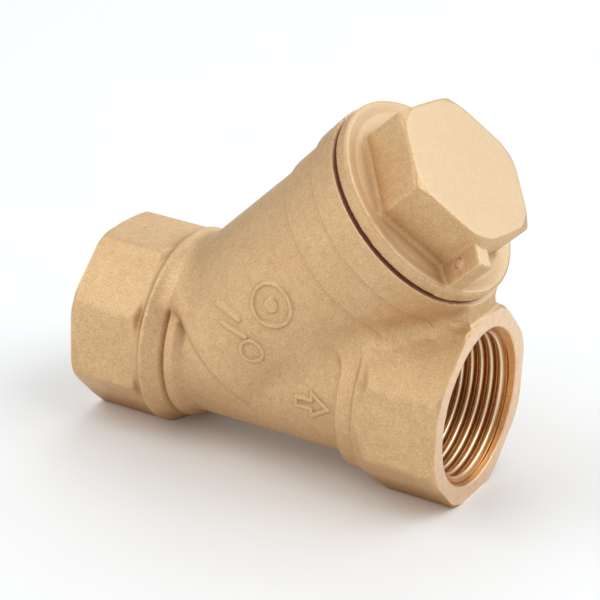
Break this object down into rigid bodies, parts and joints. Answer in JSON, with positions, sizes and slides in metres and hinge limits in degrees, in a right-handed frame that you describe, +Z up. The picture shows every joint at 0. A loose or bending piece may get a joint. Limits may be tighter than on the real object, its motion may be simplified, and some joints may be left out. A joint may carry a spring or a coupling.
{
  "type": "y strainer",
  "caption": "Y-pattern pipe strainer: threaded brass body with octagon ends, hexagon screw cap with a seal lug, gasket and a wire mesh screen basket.",
  "frame": {"origin": "centre of the inlet port's end face, on the run axis", "axes": "+X along the run from the inlet to the outlet, +Z up out of the upper wrench flats, the branch leans towards +X and +Z at 45 degrees, and the body rests on its lower wrench flats"},
  "size_m": [0.0743, 0.0366, 0.0665],
  "materials": {
    "forged_brass": "hot forged and shot blasted, threads and end faces machined",
    "gasket": "matt fibre gasket",
    "stainless": "bright stainless wire and ring"
  },
  "bodies": {
    "body": {"body": "forged_brass"},
    "cap_carriage": {"cap_gasket": "gasket"},
    "cap": {"cap": "forged_brass"},
    "screen": {"screen_bottom_ring": "stainless", "screen_top_ring": "stainless", "screen_warp_wires": "stainless", "screen_weft_wires": "stainless"}
  },
  "joints": [
    {"name": "cap_turn", "type": "hinge", "parent": "cap_carriage", "child": "cap", "pos_m": [0.024, 0, 0], "axis": [0.7071, 0, 0.7071], "range_deg": [0, 15120]},
    {"name": "cap_lift", "type": "slide", "parent": "body", "child": "cap_carriage", "axis": [0.7071, 0, 0.7071], "range_m": [0, 0.0631]},
    {"name": "screen_draw", "type": "slide", "parent": "body", "child": "screen", "axis": [0.7071, 0, 0.7071], "range_m": [0, 0.0442]}
  ],
  "couplings": [
    {"joint": "cap_lift", "follows": "cap_turn", "m_per_rad": 0.00023873},
    {"joint": "screen_draw", "follows": "cap_turn", "m_per_rad": 0.00016711}
  ]
}
